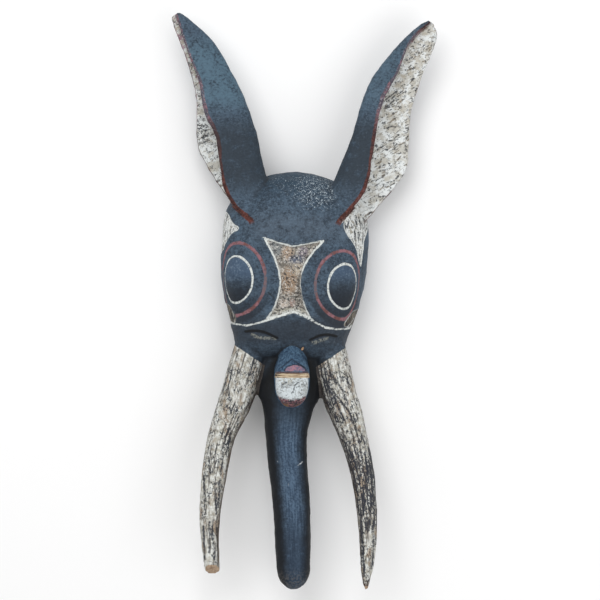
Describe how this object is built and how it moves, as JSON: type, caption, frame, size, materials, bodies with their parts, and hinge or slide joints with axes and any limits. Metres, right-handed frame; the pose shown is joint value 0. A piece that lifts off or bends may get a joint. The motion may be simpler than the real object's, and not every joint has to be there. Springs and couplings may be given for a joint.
{
  "type": "elephant mask",
  "caption": "Carved and painted wooden elephant face mask with upright open ears, a short muzzle over a long hanging trunk, and two tusks; hollow behind, it lies on its flat back rim.",
  "frame": {"origin": "middle of the mask's outline, on the plane of the flat back rim that it lies on", "axes": "+X to the viewer's right, +Y from the trunk tip up to the ear tips, +Z the way the face looks"},
  "size_m": [0.3966, 0.8632, 0.152],
  "materials": {
    "painted_wood": "matt, hand-painted blue-black with white, dark red and tan areas, worn to bare wood on edges and breaks"
  },
  "bodies": {
    "root": {"carved_mask": "painted_wood"}
  },
  "joints": []
}
